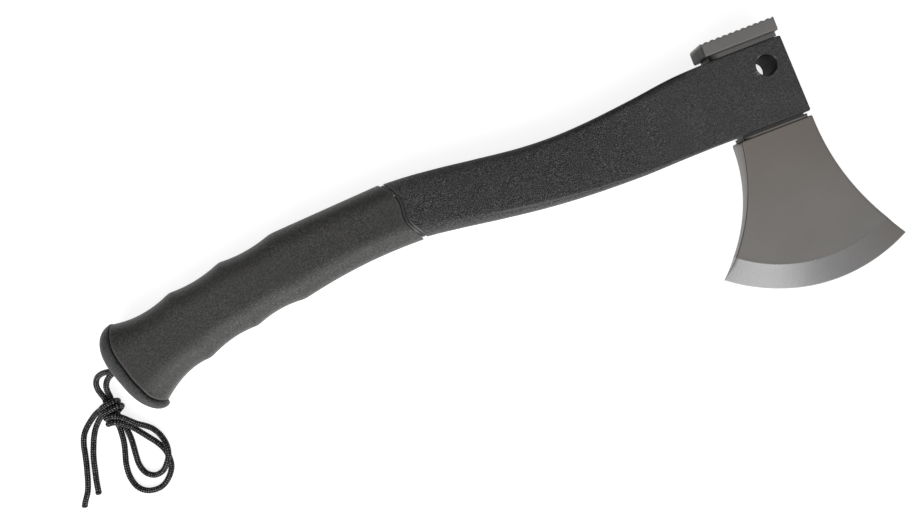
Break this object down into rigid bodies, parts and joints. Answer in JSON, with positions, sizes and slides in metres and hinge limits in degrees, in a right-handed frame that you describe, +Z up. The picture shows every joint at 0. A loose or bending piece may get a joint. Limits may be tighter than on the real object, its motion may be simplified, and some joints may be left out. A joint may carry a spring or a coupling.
{
  "type": "hatchet",
  "caption": "Hatchet lying on its side: coated steel head with a serrated hammer poll, moulded handle with a rubber grip, and a cord lanyard on a fire starting rod stored in the butt.",
  "frame": {"origin": "on the ground, under the middle of the box round the hatchet without its lanyard, with the hatchet lying flat on its side", "axes": "+X along the handle from the butt to the head, +Y from the cutting edge to the hammer poll, +Z up, through the handle's thickness"},
  "size_m": [0.475, 0.144, 0.028],
  "materials": {
    "coated_steel": "satin grey coating with a bright ground bevel",
    "nylon": "fine stipple",
    "grip_rubber": "satin",
    "plug_nylon": "matte",
    "ferro_rod": "dull, dark coated",
    "pin_steel": "turned",
    "seal_rubber": "matte",
    "black_cord": "braided"
  },
  "bodies": {
    "hatchet": {"axe_head": "coated_steel", "handle_body": "nylon", "grip_sleeve": "grip_rubber", "butt_cap": "nylon"},
    "fire_steel": {"fire_steel_plug": "plug_nylon", "fire_steel_rod": "ferro_rod", "lanyard_pin": "pin_steel", "plug_o_ring": "seal_rubber", "lanyard_strand_a": "black_cord", "lanyard_strand_b": "black_cord", "lanyard_knot": "black_cord", "lanyard_loop_a": "black_cord", "lanyard_loop_b": "black_cord", "lanyard_tail_a": "black_cord", "lanyard_tail_b": "black_cord", "lanyard_tip_a": "black_cord", "lanyard_tip_b": "black_cord"}
  },
  "joints": [
    {"name": "fire_steel_slide", "type": "slide", "parent": "hatchet", "child": "fire_steel", "axis": [-0.9781, -0.2079, 0], "range_m": [0, 0.095]}
  ]
}
